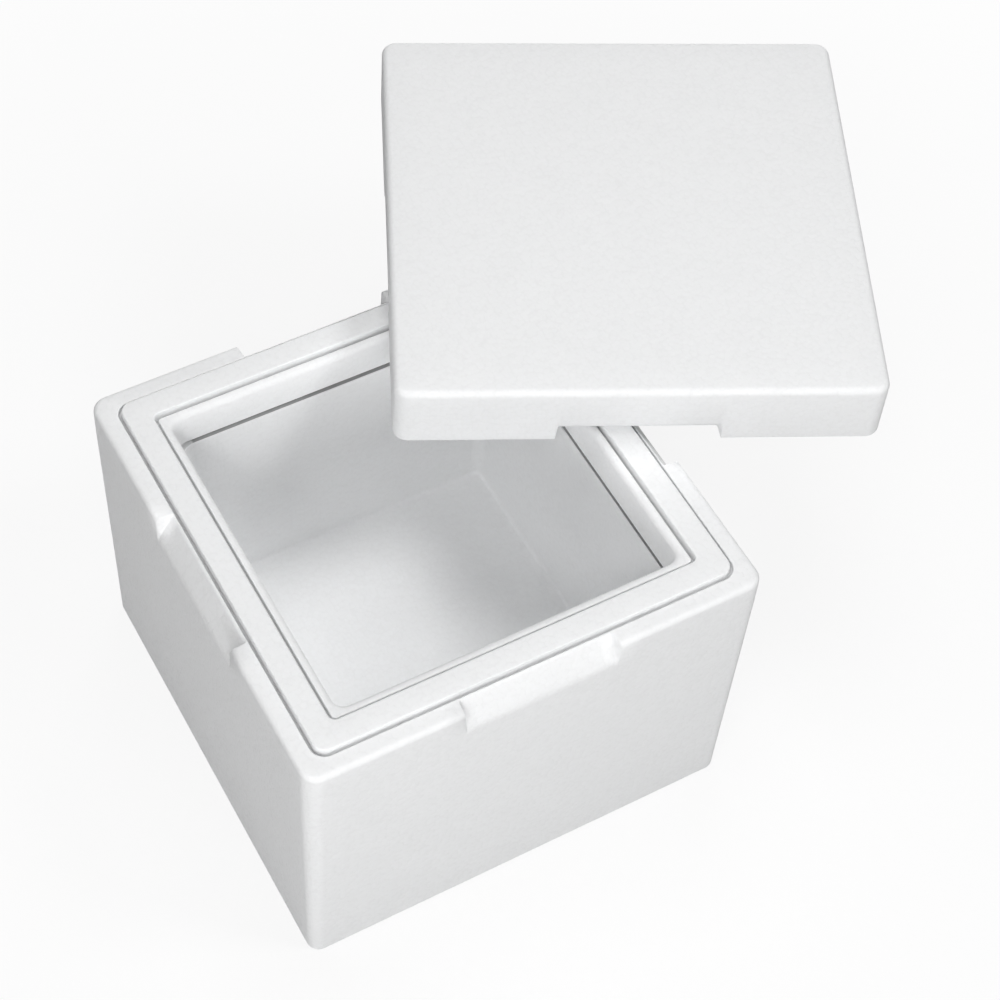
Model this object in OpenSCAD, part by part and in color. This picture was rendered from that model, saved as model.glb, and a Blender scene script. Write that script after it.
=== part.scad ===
// Insulated foam box: a thick-walled tub moulded in one piece of bead foam, and its loose moulded lid,
// which lies flat and turned on the rim, over the back right corner, with the tub left open.
// Millimetres, +Z up. The origin is the centre of the tub's underside, and the front is -Y.

/* [Tub] */
// Outer length of the tub at its rim, along X
box_l = 400; // [380:5:600]
// Outer width of the tub at its rim, along Y
box_w = 400; // [380:5:600]
// Height of the tub from its underside to the ledge that the lid sits on
tub_h = 290; // [150:5:450]
// Wall thickness at the mouth
wall_t = 50; // [40:1:70]
// Thickness of the floor
base_t = 60; // [30:1:80]
// Radius of the tub's upright outer corners
corner_r = 14; // [12:1:20]
// How much each outer side leans in towards the underside
outer_setback = 3; // [0:0.5:5]
// Chamfer around the underside
base_edge = 2; // [1:0.5:3]

/* [Rim] */
// Width of the outer ledge, from the tub's side to the rib
ledge_w = 18.5; // [16:0.5:22]
// Rounding of the ledge's outer edge
ledge_edge_r = 5; // [2:0.5:6]
// Width of the sill between the rib and the mouth
sill_w = 10.5; // [8:0.5:14]
// Height of the rib that stands between the ledge and the sill and centres the lid
rib_h = 4; // [2:0.5:8]
// Radius of the rib's outer corners
rib_outer_r = 10; // [6:1:14]
// Radius of the rib's inner corners
rib_inner_r = 6; // [4:1:9]
// Chamfer on both upper edges of the rib
rib_edge = 1; // [0.5:0.25:1.5]
// Width of the narrow channel along each foot of the rib
foot_channel_w = 3; // [1:0.5:3.5]
// Depth of that channel below the ledge
foot_channel_d = 5; // [1:0.5:6]
// Rounding of the mouth's upper edge
mouth_edge_r = 6; // [3:0.5:8]

/* [Cavity] */
// Radius of the mouth's upright corners
mouth_r = 10; // [6:1:16]
// Depth of the tapered collar at the mouth, below the ledge
collar_h = 28; // [20:1:50]
// How much the collar closes in over its depth
collar_setback = 4; // [0:0.5:5]
// Height of the seam channel under the collar
seam_h = 5; // [2:0.5:7]
// Depth of the seam channel into the wall
seam_d = 5; // [1:0.5:6]
// Radius of the cavity's upright corners under the seam
cavity_r = 14; // [13:1:20]
// How much the cavity closes in from the seam to the floor
cavity_setback = 5; // [0:0.5:5]
// Rounding where the walls meet the floor
floor_edge_r = 4; // [2:0.5:6]

/* [Finger grips] */
// Length of the grip in the middle of each side
grip_l = 133; // [60:1:160]
// Strip of the ledge left between a grip and the channel at the rib's foot
grip_strip = 1; // [0.5:0.5:6]
// Height of the grip in the tub, down from the ledge
tub_grip_h = 24; // [10:1:40]
// Height of the grip in the lid, up from its lower face
lid_grip_h = 19; // [10:1:30]

/* [Lid] */
// Thickness of the lid
lid_t = 60; // [40:1:90]
// How far the lid's sides stand in from the tub's
lid_inset = 1; // [0:0.5:3]
// Rounding of the lid's upper edge
lid_top_r = 6; // [2:0.5:8]
// Chamfer around the lid's lower edge
lid_edge = 1.5; // [0.5:0.5:3]
// Clearance between the rib and its channel in the lid, on each side
rib_clear = 1; // [0.5:0.25:2]
// Clearance above the rib in the lid's channel
rib_top_clear = 1; // [0.5:0.25:2]

/* [Lid pose] */
// How far the lid's centre lies out past the tub's right side
lid_past_side = 66; // [40:1:80]
// How far the lid's centre stays short of the tub's back side
lid_short_of_back = 58.5; // [40:0.5:80]
// Turn of the lid about the upright
lid_turn = -26; // [-40:1:-10]
// Gap left between the lid's lower face and the rib it lies on
rest_gap = 0.2; // [0.1:0.1:0.4]

/* [Hidden] */
$fn = 64;

// Overshoot of a cut past the face that it opens
cut = 1;
// Outer and inner face of the rib, measured in from the tub's side
rib_out = ledge_w;
rib_in = wall_t - sill_w;
// A rounding is never more than half the corner that it runs around
ledge_round = min(ledge_edge_r, corner_r / 2);
// Height where the outer sides stop leaning, just under the grips
lean_top = tub_h - tub_grip_h - ledge_round;
// The mouth's rounding starts past the channel at the rib's foot
mouth_round = min(mouth_edge_r, sill_w - foot_channel_w);
// Levels inside the tub
collar_z = tub_h - collar_h;
seam_z = collar_z - seam_h;
// Radius of the cavity's corners at the floor, and the rounding around it
floor_r = cavity_r - cavity_setback;
floor_round = min(floor_edge_r, floor_r / 2);
// How far a grip reaches in from the tub's side
grip_in = ledge_w - foot_channel_w - grip_strip;
// Length and width of the lid
lid_l = box_l - 2 * lid_inset;
lid_w = box_w - 2 * lid_inset;
// Upright corners of the lid follow the tub's
lid_r = corner_r - lid_inset;
lid_round = min(lid_top_r, lid_r / 2);
// Place of the lid: its centre, and its lower face as it lies on the rib
lid_x = box_l / 2 + lid_past_side;
lid_y = box_w / 2 - lid_short_of_back;
lid_z = tub_h + rib_h + rest_gap;
// Foam white
foam = [0.93, 0.94, 0.95];

// A block of length l and width w with upright corners of radius r. Its child is the half
// outline of the edge: x runs from the corner's centre line outward, y runs up from 0 to h.
module edge_block(l, w, r, h) {
    run_l = l - 2 * r;
    run_w = w - 2 * r;
    for (sx = [-1, 1], sy = [-1, 1])
        translate([sx * run_l / 2, sy * run_w / 2, 0])
            rotate_extrude() children();
    rotate([90, 0, 90])
        linear_extrude(run_l, center = true)
            both_edges(run_w, h) children();
    rotate([90, 0, 0])
        linear_extrude(run_w, center = true)
            both_edges(run_l, h) children();
}

// Two mirrored half outlines with the run between them filled in
module both_edges(run, h) {
    translate([run / 2, 0]) children();
    mirror([1, 0]) translate([run / 2, 0]) children();
    translate([-run / 2, 0]) square([run, h]);
}

// A plain upright block with rounded corners, from z0 to z1
module plain_block(l, w, r, z0, z1) {
    translate([0, 0, z0])
        edge_block(l, w, r, z1 - z0)
            square([r, z1 - z0]);
}

// A rounded rectangular ring between two insets from the tub's sides
module inset_ring(in0, r0, in1, r1, z0, z1) {
    difference() {
        plain_block(box_l - 2 * in0, box_w - 2 * in0, r0, z0, z1);
        plain_block(box_l - 2 * in1, box_w - 2 * in1, r1, z0 - cut, z1 + cut);
    }
}

// Half outline with a leaning side, a chamfered foot and a rounded upper edge
module tub_edge() {
    top = tub_h - ledge_round;
    polygon([
        [0, 0],
        [corner_r - outer_setback - base_edge, 0],
        [corner_r - outer_setback, base_edge],
        [corner_r, lean_top],
        [corner_r, top],
        [corner_r - ledge_round, top],
        [corner_r - ledge_round, tub_h],
        [0, tub_h],
    ]);
    translate([corner_r - ledge_round, top]) circle(ledge_round);
}

// The raised rib, with a chamfer on both of its upper edges
module rib() {
    translate([0, 0, tub_h - cut])
        difference() {
            edge_block(box_l - 2 * rib_out, box_w - 2 * rib_out, rib_outer_r, rib_h + cut)
                rib_outer_edge();
            translate([0, 0, -cut])
                edge_block(box_l - 2 * rib_in, box_w - 2 * rib_in, rib_inner_r, rib_h + 3 * cut)
                    rib_inner_edge();
        }
}

module rib_outer_edge() {
    h = rib_h + cut;
    polygon([
        [0, 0],
        [rib_outer_r, 0],
        [rib_outer_r, h - rib_edge],
        [rib_outer_r - rib_edge, h],
        [0, h],
    ]);
}

module rib_inner_edge() {
    h = rib_h + 2 * cut;
    polygon([
        [0, 0],
        [rib_inner_r, 0],
        [rib_inner_r, h - rib_edge],
        [rib_inner_r + rib_edge + cut, h + cut],
        [0, h + cut],
    ]);
}

// The narrow channels along both feet of the rib
module foot_channels() {
    z0 = tub_h - foot_channel_d;
    z1 = tub_h + cut;
    inset_ring(rib_out - foot_channel_w, rib_outer_r + foot_channel_w, rib_out, rib_outer_r, z0, z1);
    inset_ring(rib_in, rib_inner_r, rib_in + foot_channel_w, rib_inner_r - foot_channel_w, z0, z1);
}

// The room inside the collar, with a rounded upper edge at the mouth
module collar_room() {
    translate([0, 0, collar_z])
        edge_block(box_l - 2 * wall_t, box_w - 2 * wall_t, mouth_r, collar_h)
            collar_edge();
}

module collar_edge() {
    bend = collar_h - mouth_round;
    difference() {
        polygon([
            [0, 0],
            [mouth_r - collar_setback, 0],
            [mouth_r, bend],
            [mouth_r + mouth_round, bend],
            [mouth_r + mouth_round, collar_h + cut],
            [0, collar_h + cut],
        ]);
        translate([mouth_r + mouth_round, bend]) circle(mouth_round);
    }
}

// The room under the collar: the seam channel and the leaning walls down to the floor
module lower_room() {
    foot_in = wall_t + collar_setback;
    room_h = collar_z - base_t;
    translate([0, 0, base_t])
        edge_block(box_l - 2 * foot_in, box_w - 2 * foot_in, cavity_r, room_h)
            lower_edge(room_h);
    seam_in = foot_in - seam_d;
    plain_block(box_l - 2 * seam_in, box_w - 2 * seam_in, cavity_r + seam_d, seam_z, collar_z);
}

module lower_edge(h) {
    bend = floor_r - floor_round;
    polygon([
        [0, 0],
        [bend, 0],
        [bend, floor_round],
        [floor_r, floor_round],
        [cavity_r, h],
        [0, h],
    ]);
    translate([bend, floor_round]) circle(floor_round);
}

// A slanted finger grip in the middle of each side of an l by w block. It reaches in by reach
// at level z and runs out at the side, h away: the grip of the tub drops and the lid's rises.
module finger_grips(l, w, z, reach, h) {
    for (turn = [0, 90, 180, 270])
        rotate([0, 0, turn])
            translate([0, -(turn % 180 == 0 ? w : l) / 2, z])
                rotate([90, 0, 90])
                    linear_extrude(grip_l, center = true)
                        grip_outline(reach, h);
}

// Cross-section of a grip: x runs in from the side, and y runs along the height h
module grip_outline(reach, h) {
    slope = reach / h;
    polygon([
        [-cut, -cut * sign(h)],
        [reach + cut * abs(slope), -cut * sign(h)],
        [-cut, h + cut / slope],
    ]);
}

module tub() {
    color(foam)
        difference() {
            union() {
                edge_block(box_l, box_w, corner_r, tub_h) tub_edge();
                rib();
            }
            foot_channels();
            collar_room();
            lower_room();
            finger_grips(box_l, box_w, tub_h, grip_in, -tub_grip_h);
        }
}

// The lid in its own place: its lower face is at 0 and its centre on the upright
module lid_body() {
    difference() {
        edge_block(lid_l, lid_w, lid_r, lid_t) lid_edge_outline();
        rib_channel();
        finger_grips(lid_l, lid_w, 0, grip_in - lid_inset, lid_grip_h);
    }
}

module lid_edge_outline() {
    top = lid_t - lid_round;
    polygon([
        [0, 0],
        [lid_r - lid_edge, 0],
        [lid_r, lid_edge],
        [lid_r, top],
        [lid_r - lid_round, top],
        [lid_r - lid_round, lid_t],
        [0, lid_t],
    ]);
    translate([lid_r - lid_round, top]) circle(lid_round);
}

// The channel in the lid's lower face that takes the rib when the box is shut
module rib_channel() {
    inset_ring(
        rib_out - rib_clear, rib_outer_r + rib_clear,
        rib_in + rib_clear, rib_inner_r - rib_clear,
        -cut, rib_h + rib_top_clear
    );
}

module lid() {
    color(foam)
        translate([lid_x, lid_y, lid_z])
            rotate([0, 0, lid_turn])
                lid_body();
}

tub();
lid();
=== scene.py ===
# %% [markdown]
# A white foam box seen from above, with its lid lying turned over one corner of the rim. The
# solids are loaded first: they hold the true sizes and places, and everything made below is
# worked out from their boxes, so nothing has to be fitted by eye.

# %% Load the solids
import math

import bmesh
import bpy
from mathutils import Matrix, Quaternion, Vector


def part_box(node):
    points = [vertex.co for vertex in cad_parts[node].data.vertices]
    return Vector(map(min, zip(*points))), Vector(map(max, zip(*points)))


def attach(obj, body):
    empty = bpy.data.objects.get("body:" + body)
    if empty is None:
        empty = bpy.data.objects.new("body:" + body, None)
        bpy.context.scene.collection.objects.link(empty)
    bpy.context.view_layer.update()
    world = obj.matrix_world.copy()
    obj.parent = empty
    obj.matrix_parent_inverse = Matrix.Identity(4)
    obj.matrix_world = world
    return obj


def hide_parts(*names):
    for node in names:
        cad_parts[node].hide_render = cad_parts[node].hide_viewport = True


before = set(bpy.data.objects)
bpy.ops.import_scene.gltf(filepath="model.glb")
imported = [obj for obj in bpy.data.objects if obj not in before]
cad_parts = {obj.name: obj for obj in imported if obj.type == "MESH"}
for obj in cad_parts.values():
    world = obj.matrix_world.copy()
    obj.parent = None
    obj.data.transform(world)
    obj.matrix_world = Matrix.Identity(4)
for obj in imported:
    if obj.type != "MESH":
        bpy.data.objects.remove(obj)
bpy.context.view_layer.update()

MM = 0.001
tub_low, tub_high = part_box("tub")
lid_low, lid_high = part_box("lid")

# %% [markdown]
# The camera comes first, because every later choice is judged through it. It is a long lens
# well above the near left corner of the box. A camera can be aimed with a tracking constraint,
# but a plain rotation is easier to read: aim along a direction, then lean about that direction
# by the few degrees that the picture leans.

# %% Camera
CAMERA_PLACE = Vector((-0.5711, -0.9896, 1.8546))
CAMERA_AIM = Vector((0.3216, 0.4922, -0.8089)).normalized()
CAMERA_LEAN = math.radians(5.15)
CAMERA_LENS = 87.55


def aim_camera(place, aim, lean, lens):
    data = bpy.data.cameras.new("camera")
    data.lens = lens
    data.sensor_width = 36
    camera = bpy.data.objects.new("camera", data)
    bpy.context.collection.objects.link(camera)
    camera.rotation_mode = "QUATERNION"
    camera.location = place
    camera.rotation_quaternion = Quaternion(aim, -lean) @ aim.to_track_quat("-Z", "Y")
    return camera


camera = aim_camera(CAMERA_PLACE, CAMERA_AIM, CAMERA_LEAN, CAMERA_LENS)
bpy.context.scene.camera = camera
print("camera right axis", camera.rotation_quaternion @ Vector((1, 0, 0)))

# %% [markdown]
# Both mouldings have the same build: one outline carried round a rounded square, from the
# middle of the underside, up the outside, over the rim and down to the middle of the floor.
# Modelling them by hand from a cube would take a bevel at every step. Instead the outline is
# written once as a short list of corners, each with its own rounding, and a function turns
# every corner into an arc. Foam beads never fill a mould's corner sharply, so no corner here
# is left without a small radius.

# %% Rounded outline
ARC_STEP = math.radians(15)
LEAST_UPRIGHT = 0.5


def round_corners(corners):
    """Corners are (inset, height, rounding, upright radius) in mm. Each rounding becomes an arc."""
    points = []
    for k, (x, z, r, upright) in enumerate(corners):
        here = Vector((x, z))
        if r == 0:
            points.append((x, z, upright))
            continue
        back = (Vector(corners[k - 1][:2]) - here).normalized()
        ahead = (Vector(corners[k + 1][:2]) - here).normalized()
        angle = back.angle(ahead)
        reach = r / math.tan(angle / 2)
        centre = here + (back + ahead).normalized() * (r / math.sin(angle / 2))
        start = here + back * reach - centre
        end = here + ahead * reach - centre
        turn = math.pi - angle
        steps = max(2, round(turn / ARC_STEP))
        for s in range(steps + 1):
            t = s / steps
            swing = start * math.sin((1 - t) * turn) + end * math.sin(t * turn)
            p = centre + swing / math.sin(turn)
            points.append((p.x, p.y, max(LEAST_UPRIGHT, upright + x - p.x)))
    return points


# %% [markdown]
# The finger grips are the one place where the outline changes: inside a grip the same points
# lie on a slanted face. So every point of the plain outline gets a twin. Outside the grip's
# stretch the twin is the point itself, and inside it the twins are spread along the slanted
# face, at the same share of the way.

# %% Twins on the slanted face
def share_along(points):
    """How far along the line each point lies, from 0 to 1."""
    steps = [0.0]
    for a, b in zip(points, points[1:]):
        steps.append(steps[-1] + math.hypot(b[0] - a[0], b[1] - a[1]))
    return [s / steps[-1] for s in steps]


def point_at(points, shares, t):
    for k in range(len(points) - 1):
        if t <= shares[k + 1]:
            f = (t - shares[k]) / (shares[k + 1] - shares[k])
            a, b = points[k], points[k + 1]
            return (a[0] + (b[0] - a[0]) * f, a[1] + (b[1] - a[1]) * f)
    return points[-1][:2]


def grip_twins(plain, first, last, slanted):
    """Twins of the plain points. Those from first to last move to the slanted line."""
    twins = [p[:2] for p in plain]
    stretch = plain[first:last + 1]
    slanted_shares = share_along(slanted)
    for k, t in enumerate(share_along(stretch)):
        twins[first + k] = point_at(slanted, slanted_shares, t)
    return twins


# %% [markdown]
# A loop of the mesh follows one point of the outline all the way round the square: straight
# runs with a quarter circle between them. At the ends of a grip each point slides from its
# plain place to its twin within a few millimetres. That makes the grip's end walls, softly
# rounded at both edges, without any cutting. Each point also carries a mark that says how much
# painted shade it gets in a groove. The mesh keeps it as an attribute, which a material can read
# later.

# %% Loops round the square
CORNER_STEPS = 14
END_WALL = 3.0
END_STEPS = 8
RUN_STEPS = 6


def side_stations(grip_half, run_end):
    """Places along half a side, from its middle to its corner, each with its share of grip."""
    inner = grip_half - END_WALL / 2
    outer = grip_half + END_WALL / 2
    stations = [(inner * k / RUN_STEPS, 1.0) for k in range(RUN_STEPS)]
    for k in range(END_STEPS + 1):
        t = k / END_STEPS
        stations.append((inner + END_WALL * t, 1 - t * t * (3 - 2 * t)))
    run = run_end - outer
    stations += [(outer + run * k / RUN_STEPS, 0.0) for k in range(1, RUN_STEPS)]
    return stations


def loop_points(half, point, twin, grip_half):
    """One closed loop of (x, y, z) in mm for a point of the outline and its twin inside the grip."""
    inset, z, upright = point
    run_end = half - inset - upright
    right = side_stations(grip_half, run_end)
    stations = [(-u, w) for u, w in reversed(right[1:])] + right
    loop = []
    for side in range(4):
        turn = Matrix.Rotation(side * math.pi / 2, 3, "Z")
        loop.append(turn @ Vector((-run_end, inset - half, z)))
        for u, w in stations:
            depth = inset + (twin[0] - inset) * w
            height = z + (twin[1] - z) * w
            loop.append(turn @ Vector((u, depth - half, height)))
        for k in range(CORNER_STEPS):
            a = math.pi / 2 * k / CORNER_STEPS
            corner = Vector((run_end + upright * math.sin(a), -run_end - upright * math.cos(a), z))
            loop.append(turn @ corner)
    return loop


def skin_loops(name, loops, grooves, place):
    """A closed mesh from loops of equal length, capped at both ends.

    grooves says for every point of every loop how much painted shade it gets, from 0 to 1.
    """
    bm = bmesh.new()
    rings = [[bm.verts.new(place @ (p * MM)) for p in loop] for loop in loops]
    count = len(rings[0])
    for low, high in zip(rings, rings[1:]):
        for k in range(count):
            bm.faces.new((low[k], low[(k + 1) % count], high[(k + 1) % count], high[k]))
    bm.faces.new(list(reversed(rings[0])))
    bm.faces.new(rings[-1])
    for face in bm.faces:
        face.smooth = True
    mesh = bpy.data.meshes.new(name)
    bm.to_mesh(mesh)
    bm.free()
    # The painted shade of each point goes into the mesh as its groove attribute.
    marks = mesh.attributes.new("groove", "FLOAT", "POINT")
    marks.data.foreach_set("value", [share for ring in grooves for share in ring])
    piece = bpy.data.objects.new(name, mesh)
    bpy.context.collection.objects.link(piece)
    print(name, "faces", len(mesh.polygons))
    return piece


# %% [markdown]
# The tub's outline. From the outside in, its rim has a flat ledge that the lid sits on, a
# raised rib with a narrow channel at each foot, a sill, and a rounded mouth. A tapered collar
# hangs below the mouth and ends at a seam, and the walls lean in from there to the floor. The
# half length and the height come from the loaded solid, and the rest is in millimetres.

# %% The tub's measures
HALF = tub_high.x / MM
RIB_TOP = tub_high.z / MM
RIB_RISE = 4
LEDGE = RIB_TOP - RIB_RISE
FLOOR = 60
WALL = 50
LEDGE_W = 18.5
SILL_W = 10.5
CHANNEL_W = 3
CHANNEL_D = 5
GROOVE_ROUND = 0.6
RIB_ROUND = 1.3
COLLAR_H = 28
COLLAR_LEAN = 4
MOUTH_ROUND = 6
SEAM_H = 5
SEAM_D = 5
SEAM_ROUND = 0.9
SEAM_CORNER = 14
OUTER_LEAN = 3
INNER_LEAN = 5
CORNER = 14
RIB_CORNER = CORNER - 4
SILL_CORNER = 6
FOOT_ROUND = 2.5
LEDGE_ROUND = 5
GRIP_HALF = 66.5
GRIP_IN = LEDGE_W - CHANNEL_W - 1
GRIP_LIP = 0.35
GRIP_DROP = 24

# %% [markdown]
# The narrow grooves get painted shade, which makes them darker lines than the lamps alone make
# them. The marks for it are worked out here from a point's place in the outline. A rib channel
# takes part of the painted shade and the seam all of it, up to a hair below their edges, so that
# the edges stay as pale as the faces beside them. The seam's lower face shows from above at the
# cavity's corners, because those are rounder than the collar's, and there it gets only a little
# of the painted shade, almost as pale as the walls.

# %% Painted shade in the tub's grooves
GROOVE_EDGE = 0.7
SEAM_EDGE = 0.2
# How much painted shade a rib channel gets, and the share of the seam's painted shade left where its
# lower face lies open.
CHANNEL_PAINTED_SHADE = 0.45
SHELF_PAINTED_SHADE = 0.25
SLACK = 0.01


def tub_painted_shade(inset, z):
    """How much painted shade a point of the tub's outline gets."""
    rib_in = WALL - SILL_W
    collar_in = WALL + COLLAR_LEAN
    seam_top = LEDGE - COLLAR_H
    outer = LEDGE_W - CHANNEL_W - SLACK < inset < LEDGE_W + SLACK
    inner = rib_in - SLACK < inset < rib_in + CHANNEL_W + SLACK
    deep = LEDGE - CHANNEL_D - SLACK < z < LEDGE - GROOVE_EDGE - SLACK
    if deep and (outer or inner):
        return CHANNEL_PAINTED_SHADE
    in_seam = seam_top - SEAM_H - SLACK < z < seam_top + SLACK
    if in_seam and rib_in < inset < collar_in - SEAM_EDGE:
        return 1.0
    return 0.0


def open_painted_shade(point, z):
    """What is left of the painted shade where the seam's lower face lies open at a corner of the
    cavity.
    """
    run_end = HALF - WALL - COLLAR_LEAN - SEAM_CORNER
    at_corner = min(abs(point.x), abs(point.y)) > run_end + SLACK
    seam_foot = LEDGE - COLLAR_H - SEAM_H
    on_shelf = seam_foot - SLACK < z < seam_foot + SEAM_H / 2
    return SHELF_PAINTED_SHADE if at_corner and on_shelf else 1.0


# %% [markdown]
# With the marks settled, the outline itself is a list of corners from the middle of the
# underside to the middle of the floor. Two points just below the rib's edges say where its
# channels' painted shade ends. They lie on straight stretches, so they don't change the shape.

# %% The tub's outline and mesh
def tub_outline():
    lean_top = LEDGE - GRIP_DROP - 5
    rib_in = WALL - SILL_W
    trough = LEDGE - CHANNEL_D
    seam_top = LEDGE - COLLAR_H
    seam_foot = seam_top - SEAM_H
    collar_in = WALL + COLLAR_LEAN
    mouth_slope = COLLAR_LEAN / (COLLAR_H - MOUTH_ROUND)
    corners = [
        (30, 0, 0, 8),
        (OUTER_LEAN, 0, FOOT_ROUND, CORNER - OUTER_LEAN),
        (0, lean_top, 0, CORNER),
        (0, LEDGE - GRIP_DROP - 2, 0, CORNER),
        (0, LEDGE - GRIP_DROP + 4, 0, CORNER),
        (0, LEDGE - GRIP_DROP + 11, 0, CORNER),
        (0, LEDGE, LEDGE_ROUND, CORNER),
        (10, LEDGE, 0, 10),
        (GRIP_IN + GRIP_LIP, LEDGE, 0, 12),
        (LEDGE_W - CHANNEL_W, LEDGE, GROOVE_ROUND, RIB_CORNER + CHANNEL_W),
        (LEDGE_W - CHANNEL_W, trough, GROOVE_ROUND, RIB_CORNER + CHANNEL_W),
        (LEDGE_W, trough, GROOVE_ROUND, RIB_CORNER),
        (LEDGE_W, LEDGE - GROOVE_EDGE, 0, RIB_CORNER),
        (LEDGE_W, RIB_TOP, RIB_ROUND, RIB_CORNER),
        (rib_in, RIB_TOP, RIB_ROUND, SILL_CORNER),
        (rib_in, LEDGE - GROOVE_EDGE, 0, SILL_CORNER),
        (rib_in, trough, GROOVE_ROUND, SILL_CORNER),
        (rib_in + CHANNEL_W, trough, GROOVE_ROUND, SILL_CORNER - CHANNEL_W),
        (rib_in + CHANNEL_W, LEDGE, GROOVE_ROUND, SILL_CORNER - CHANNEL_W),
        (WALL - MOUTH_ROUND * mouth_slope, LEDGE, MOUTH_ROUND, 11),
        (collar_in, seam_top, SEAM_ROUND, SILL_CORNER),
        (collar_in - SEAM_D, seam_top, GROOVE_ROUND, SEAM_CORNER + SEAM_D),
        (collar_in - SEAM_D, seam_foot, GROOVE_ROUND, SEAM_CORNER + SEAM_D),
        (collar_in, seam_foot, SEAM_ROUND, SEAM_CORNER),
        (collar_in + INNER_LEAN, FLOOR, 4, 9),
        (75, FLOOR, 0, 5),
    ]
    return round_corners(corners)


def nearest_index(points, x, z):
    return min(range(len(points)), key=lambda k: math.hypot(points[k][0] - x, points[k][1] - z))


def make_tub():
    plain = tub_outline()
    first = nearest_index(plain, 0, LEDGE - GRIP_DROP - 2)
    last = nearest_index(plain, GRIP_IN + GRIP_LIP, LEDGE)
    slanted = round_corners([
        (0, LEDGE - GRIP_DROP - 2, 0, 0),
        (0, LEDGE - GRIP_DROP, 3, 0),
        (GRIP_IN, LEDGE, 0.5, 0),
        (GRIP_IN + GRIP_LIP, LEDGE, 0, 0),
    ])
    twins = grip_twins(plain, first, last, slanted)
    loops = [loop_points(HALF, p, q, GRIP_HALF) for p, q in zip(plain, twins)]
    grooves = []
    for loop, (inset, z, upright) in zip(loops, plain):
        # Each point's painted shade, worked out from its place in the outline.
        grooves.append([tub_painted_shade(inset, z) * open_painted_shade(p, z) for p in loop])
    print("loops in a groove", sum(1 for ring in grooves if max(ring) > 0))
    return skin_loops("foam_tub", loops, grooves, Matrix.Identity(4))


tub = make_tub()
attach(tub, "root")
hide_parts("tub")

# %% [markdown]
# The lid is a slab made the same way. Its outline starts inside the channel that takes the
# rib, runs out under the edge, up the side and over the rounded top. It is made about its own
# centre and then turned and laid where the loaded solid lies: the centre of that solid's box
# is the lid's centre, and the box's length gives the lid's own length once the turn is known.

# %% Lid
LID_TURN = math.radians(-26)
LID_GRIP_RISE = 19
LID_GRIP_IN = GRIP_IN - 1
RIB_CLEAR = 1
LID_CORNER = CORNER - 1
LID_ROUND = 6

box_length = (lid_high.x - lid_low.x) / MM
spread = math.cos(LID_TURN) + abs(math.sin(LID_TURN))
LID_HALF = (box_length - 2 * LID_CORNER) / spread / 2 + LID_CORNER
LID_THICK = (lid_high.z - lid_low.z) / MM
print("lid half length", LID_HALF, "thickness", LID_THICK)


def lid_outline():
    channel_in = WALL - SILL_W + RIB_CLEAR - 1
    channel_out = LEDGE_W - RIB_CLEAR - 1
    channel_top = RIB_RISE + 1
    corners = [
        (75, 0, 0, 5),
        (channel_in, 0, 0.8, 5),
        (channel_in, channel_top, 0.6, 5),
        (channel_out, channel_top, 0.6, RIB_CORNER + 1),
        (channel_out, 0, 0.8, RIB_CORNER + 1),
        (LID_GRIP_IN + GRIP_LIP, 0, 0, 11),
        (8, 0, 0, 11),
        (0, 0, 1.8, LID_CORNER),
        (0, 7, 0, LID_CORNER),
        (0, 14, 0, LID_CORNER),
        (0, LID_GRIP_RISE + 2, 0, LID_CORNER),
        (0, LID_THICK, LID_ROUND, LID_CORNER),
        (30, LID_THICK, 0, 8),
    ]
    return round_corners(corners)


def make_lid():
    plain = lid_outline()
    first = nearest_index(plain, LID_GRIP_IN + GRIP_LIP, 0)
    last = nearest_index(plain, 0, LID_GRIP_RISE + 2)
    slanted = round_corners([
        (LID_GRIP_IN + GRIP_LIP, 0, 0, 0),
        (LID_GRIP_IN, 0, 0.5, 0),
        (0, LID_GRIP_RISE, 3, 0),
        (0, LID_GRIP_RISE + 2, 0, 0),
    ])
    twins = grip_twins(plain, first, last, slanted)
    loops = [loop_points(LID_HALF, p, q, GRIP_HALF) for p, q in zip(plain, twins)]
    centre = (lid_low + lid_high) / 2
    place = Matrix.Translation((centre.x, centre.y, lid_low.z)) @ Matrix.Rotation(LID_TURN, 4, "Z")
    grooves = [[0.0] * len(loop) for loop in loops]
    return skin_loops("foam_lid", loops, grooves, place)


lid = make_lid()
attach(lid, "root")
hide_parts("lid")

# %% [markdown]
# Moulded foam is a crowd of beads pressed against each other. Each bead shows as a small flat
# cell with a fine crease round it, and neighbours differ a little in brightness and height. The
# creases are also coloured a little darker, which is painted shade. A picture of foam could be
# wrapped round the box, but a cell pattern made by the Voronoi texture has no seams and no
# repeat, and its size is a real one. It is a node group, so that both mouldings use it, each with
# values of its own. Besides the beads it makes a broad mottle, where the beads have fused more or
# less, and puts out the creases as a mask for the roughness. It also darkens the narrow grooves
# with painted shade, as far as the mesh's groove mark says.

# %% Bead pattern group
def new_group(name, inputs, outputs):
    """A shader node group with float sockets. inputs maps a name to its default."""
    group = bpy.data.node_groups.new(name, "ShaderNodeTree")
    for label, default in inputs.items():
        socket = group.interface.new_socket(label, in_out="INPUT", socket_type="NodeSocketFloat")
        socket.default_value = default
    for label in outputs:
        group.interface.new_socket(label, in_out="OUTPUT", socket_type="NodeSocketFloat")
    return group, group.nodes.new("NodeGroupInput"), group.nodes.new("NodeGroupOutput")


def math_node(group, operation, a, b=None):
    """A math node. a and b are sockets or numbers."""
    node = group.nodes.new("ShaderNodeMath")
    node.operation = operation
    for slot, value in zip(node.inputs, (a, b)):
        if value is None:
            continue
        if isinstance(value, (int, float)):
            slot.default_value = value
        else:
            group.links.new(value, slot)
    return node.outputs[0]


PATCH_SIZE = 0.035
BEAD_SCATTER = 0.8
BEAD_REACH = 0.75
WAVE_SCALE = 0.12
BEAD_STEP = 0.35


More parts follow.
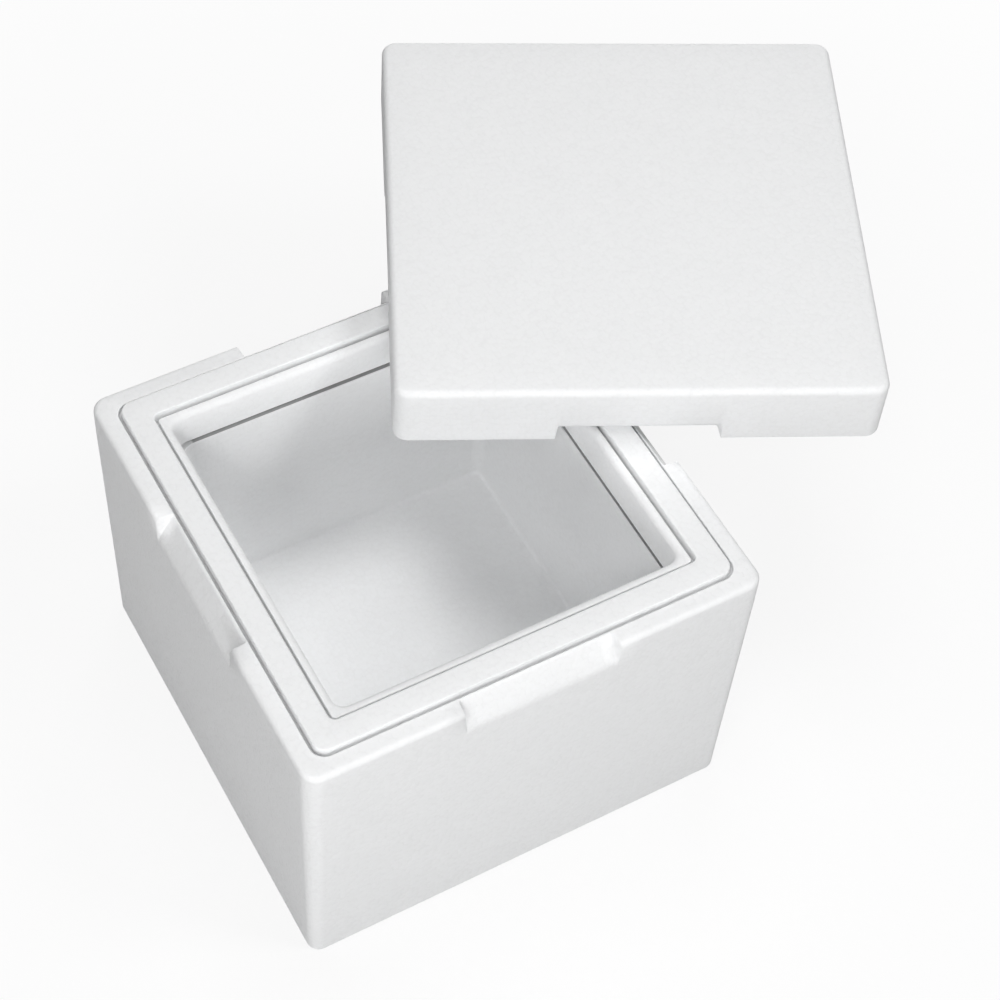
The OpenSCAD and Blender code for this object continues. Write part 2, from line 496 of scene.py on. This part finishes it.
def make_bead_group():
    group, given, result = new_group(
        "foam beads",
        {"Bead size": 0.004, "Crease": 0.25, "Tone spread": 0.02, "Wave": 0.3, "Mottle": 0.02,
         "Groove": 0.0, "Painted groove shade": 0.5},
        ("Tone", "Height", "Creases"),
    )
    place = group.nodes.new("ShaderNodeTexCoord").outputs["Object"]
    scale = math_node(group, "DIVIDE", 1.0, given.outputs["Bead size"])
    bead = group.nodes.new("ShaderNodeTexVoronoi")
    bead.inputs["Randomness"].default_value = BEAD_SCATTER
    group.links.new(place, bead.inputs["Vector"])
    group.links.new(scale, bead.inputs["Scale"])
    crown = group.nodes.new("ShaderNodeMapRange")
    crown.interpolation_type = "SMOOTHSTEP"
    group.links.new(bead.outputs["Distance"], crown.inputs["Value"])
    crown.inputs["From Min"].default_value = BEAD_REACH
    crease_start = math_node(group, "SUBTRACT", BEAD_REACH, given.outputs["Crease"])
    group.links.new(crease_start, crown.inputs["From Max"])

    own_shade = group.nodes.new("ShaderNodeSeparateColor")
    group.links.new(bead.outputs["Color"], own_shade.inputs[0])
    lift = math_node(group, "SUBTRACT", own_shade.outputs[0], 0.5)
    dip = math_node(group, "SUBTRACT", crown.outputs[0], 1.0)
    # The creases between beads take up to one tone spread off the colour, which is painted shade.
    # Each bead's own random tone is its colour.
    both = math_node(group, "ADD", lift, dip)
    patch = group.nodes.new("ShaderNodeTexNoise")
    patch.inputs["Scale"].default_value = 1 / PATCH_SIZE
    patch.inputs["Detail"].default_value = 2.0
    group.links.new(place, patch.inputs["Vector"])
    patch_lift = math_node(group, "SUBTRACT", patch.outputs[0], 0.5)
    bead_tone = math_node(group, "MULTIPLY", both, given.outputs["Tone spread"])
    patch_tone = math_node(group, "MULTIPLY", patch_lift, given.outputs["Mottle"])
    tone_before_groove_shade = math_node(group, "ADD", math_node(group, "ADD", bead_tone, patch_tone), 1.0)
    # Painted shade in the narrow grooves: the groove mark times its strength takes that share off
    # the tone.
    painted_groove_shade = math_node(group, "MULTIPLY", given.outputs["Groove"], given.outputs["Painted groove shade"])
    tone = math_node(group, "MULTIPLY", tone_before_groove_shade, math_node(group, "SUBTRACT", 1.0, painted_groove_shade))
    group.links.new(tone, result.inputs["Tone"])
    group.links.new(math_node(group, "MULTIPLY", dip, -1.0), result.inputs["Creases"])

    wave = group.nodes.new("ShaderNodeTexNoise")
    wave.inputs["Detail"].default_value = 1.0
    group.links.new(place, wave.inputs["Vector"])
    group.links.new(math_node(group, "MULTIPLY", scale, WAVE_SCALE), wave.inputs["Scale"])
    broad = math_node(group, "MULTIPLY", wave.outputs[0], given.outputs["Wave"])
    bead_level = math_node(group, "MULTIPLY", own_shade.outputs[1], BEAD_STEP)
    height = math_node(group, "ADD", crown.outputs[0], math_node(group, "ADD", broad, bead_level))
    group.links.new(height, result.inputs["Height"])
    return group


bead_group = make_bead_group()
print("group", bead_group.name, "sockets", [s.name for s in bead_group.interface.items_tree])

# %% [markdown]
# The foam itself is a bright matt white, a touch cool. Its skin shines faintly where a bead
# was pressed flat against the mould, and is duller in the creases, so the crease mask sets the
# roughness between two values. Scattering under the surface would soften the shade at thin
# edges, but nothing on this box is thin, so plain white does it at a fraction of the time.

# %% Foam material
FOAM_WHITE = (0.96, 0.965, 0.97)
BEAD_ROUGHNESS = 0.62
CREASE_ROUGHNESS = 0.85
FOAM_SHINE = 0.3
BEAD_RELIEF = 0.0003
RELIEF_STRENGTH = 0.35


def foam_material(name, look):
    """A foam material. look maps the group's inputs to this moulding's own values."""
    material = bpy.data.materials.new(name)
    material.use_nodes = True
    tree = material.node_tree
    shader = tree.nodes["Principled BSDF"]
    beads = tree.nodes.new("ShaderNodeGroup")
    beads.node_tree = bead_group
    for label, value in look.items():
        beads.inputs[label].default_value = value
    # The mesh's groove mark sets where the painted groove shade goes.
    mark = tree.nodes.new("ShaderNodeAttribute")
    mark.attribute_name = "groove"
    tree.links.new(mark.outputs["Fac"], beads.inputs["Groove"])
    colour = tree.nodes.new("ShaderNodeMix")
    colour.data_type = "RGBA"
    colour.blend_type = "MULTIPLY"
    colour.inputs[0].default_value = 1.0
    colour.inputs[6].default_value = (*FOAM_WHITE, 1)
    tree.links.new(beads.outputs["Tone"], colour.inputs[7])
    tree.links.new(colour.outputs[2], shader.inputs["Base Color"])
    bump = tree.nodes.new("ShaderNodeBump")
    bump.inputs["Strength"].default_value = RELIEF_STRENGTH
    bump.inputs["Distance"].default_value = BEAD_RELIEF
    tree.links.new(beads.outputs["Height"], bump.inputs["Height"])
    tree.links.new(bump.outputs[0], shader.inputs["Normal"])
    rough = tree.nodes.new("ShaderNodeMapRange")
    rough.inputs["To Min"].default_value = BEAD_ROUGHNESS
    rough.inputs["To Max"].default_value = CREASE_ROUGHNESS
    tree.links.new(beads.outputs["Creases"], rough.inputs["Value"])
    tree.links.new(rough.outputs[0], shader.inputs["Roughness"])
    shader.inputs["Specular IOR Level"].default_value = FOAM_SHINE
    return material


# The tub's painted groove shade takes up to 55 % off the white where its mark is full.
TUB_LOOK = {"Bead size": 0.0040, "Crease": 0.25, "Tone spread": 0.02, "Wave": 0.5,
            "Mottle": 0.03, "Painted groove shade": 0.55}
LID_LOOK = {"Bead size": 0.0038, "Crease": 0.25, "Tone spread": 0.02, "Wave": 0.5,
            "Mottle": 0.02}
tub.data.materials.append(foam_material("tub foam", TUB_LOOK))
lid.data.materials.append(foam_material("lid foam", LID_LOOK))
print("materials", tub.data.materials[0].name, lid.data.materials[0].name)

# %% [markdown]
# The floor is a wide plain sheet. Most of what the camera sees of it is an even white, and the
# rest is its own lit colour, which keeps the soft shadow of the box. What it gives back to the
# box is less, so that the sides aren't lit from below as by a white table. Away from the box
# the even white takes over, and the world is white to the camera as well, so that floor and
# distance join. One more way is a shadow catcher over white, but that needs a compositor.

# %% Floor and world
FLOOR_HALF = 6.0
FLOOR_DROP = 0.0003
FLOOR_TONE = 0.4
FLOOR_TONE_SEEN = 0.95
FLOOR_ROUGHNESS = 0.9
FLOOR_WHITE_SHARE = 0.85
SHADOW_REACH = 0.3
WHITE_FROM = 1.6


def seen_rays(tree):
    """1 for the camera's own rays and for those that shine or glass sends on."""
    path = tree.nodes.new("ShaderNodeLightPath")
    shine, glass = path.outputs["Is Glossy Ray"], path.outputs["Is Transmission Ray"]
    sent_on = math_node(tree, "MAXIMUM", shine, glass)
    return math_node(tree, "MAXIMUM", path.outputs["Is Camera Ray"], sent_on)


def make_floor():
    mesh = bpy.data.meshes.new("floor")
    corners = [(-1, -1), (1, -1), (1, 1), (-1, 1)]
    points = [(x * FLOOR_HALF, y * FLOOR_HALF, -FLOOR_DROP) for x, y in corners]
    mesh.from_pydata(points, [], [(0, 1, 2, 3)])
    floor = bpy.data.objects.new("floor", mesh)
    bpy.context.collection.objects.link(floor)
    material = bpy.data.materials.new("floor sheet")
    material.use_nodes = True
    tree = material.node_tree
    shader = tree.nodes["Principled BSDF"]
    shader.inputs["Roughness"].default_value = FLOOR_ROUGHNESS
    seen = seen_rays(tree)
    tone = tree.nodes.new("ShaderNodeMapRange")
    tone.inputs["To Min"].default_value = FLOOR_TONE
    tone.inputs["To Max"].default_value = FLOOR_TONE_SEEN
    tree.links.new(seen, tone.inputs["Value"])
    tree.links.new(tone.outputs[0], shader.inputs["Base Color"])
    white = tree.nodes.new("ShaderNodeEmission")
    blend = tree.nodes.new("ShaderNodeMixShader")
    far = tree.nodes.new("ShaderNodeVectorMath")
    far.operation = "LENGTH"
    tree.links.new(tree.nodes.new("ShaderNodeTexCoord").outputs["Object"], far.inputs[0])
    share = tree.nodes.new("ShaderNodeMapRange")
    share.interpolation_type = "SMOOTHSTEP"
    share.inputs["From Min"].default_value = SHADOW_REACH
    share.inputs["From Max"].default_value = WHITE_FROM
    share.inputs["To Min"].default_value = FLOOR_WHITE_SHARE
    tree.links.new(far.outputs["Value"], share.inputs["Value"])
    tree.links.new(math_node(tree, "MULTIPLY", seen, share.outputs[0]), blend.inputs[0])
    tree.links.new(shader.outputs[0], blend.inputs[1])
    tree.links.new(white.outputs[0], blend.inputs[2])
    tree.links.new(blend.outputs[0], tree.nodes["Material Output"].inputs[0])
    mesh.materials.append(material)
    return floor


floor = make_floor()
print("floor", floor.dimensions[:2])


def make_world(level):
    world = bpy.data.worlds.new("studio")
    bpy.context.scene.world = world
    world.use_nodes = True
    tree = world.node_tree
    back = tree.nodes["Background"]
    back.inputs["Color"].default_value = (1, 1, 1, 1)
    seen_extra = math_node(tree, "MULTIPLY", seen_rays(tree), 1 - level)
    tree.links.new(math_node(tree, "ADD", seen_extra, level), back.inputs["Strength"])
    return world


WORLD_LEVEL = 0.03
make_world(WORLD_LEVEL)

# %% [markdown]
# Studio light for a white thing on white: what tells its faces apart is only how much light
# each gets. A wide softbox over the back lights the tops and the near part of the cavity's
# floor, while the lid shades the rest of it. One low in front and one high at the front right
# light the front. The two at the left give that side less, so that it is the darker one, and a
# low one behind keeps the back from going grey. All of them rake over the rim, so little light
# reaches into its narrow channels, which stay dark as drawn lines. A single lamp beside the
# camera would be simpler, but it would fill every channel and flatten the rim.

# %% Lights
LAMP_AIM = Vector((0.1, 0.05, 0.2))
SOFTBOXES = {
    "over the back": {"place": (0.15, 0.5, 2.8), "width": 1.1, "watts": 23},
    "front low": {"place": (-0.8, -2.3, 0.7), "width": 0.9, "watts": 22},
    "front right high": {"place": (1.1, -1.1, 2.5), "width": 0.7, "watts": 21},
    "left high": {"place": (-1.4, -1.2, 2.1), "width": 0.8, "watts": 16},
    "left low": {"place": (-2.4, -0.6, 0.6), "width": 1.0, "watts": 7},
    "back low": {"place": (1.5, 2.2, 0.7), "width": 1.2, "watts": 14},
}


def softbox(name, place, width, watts):
    data = bpy.data.lights.new(name, "AREA")
    data.shape = "SQUARE"
    data.size = width
    data.energy = watts
    lamp = bpy.data.objects.new(name, data)
    bpy.context.collection.objects.link(lamp)
    lamp.location = place
    lamp.rotation_euler = (LAMP_AIM - lamp.location).to_track_quat("-Z", "Y").to_euler()
    return lamp


for name, its in SOFTBOXES.items():
    softbox(name, its["place"], its["width"], its["watts"])
print("softboxes", list(SOFTBOXES))
bpy.context.scene.view_settings.view_transform = "Standard"
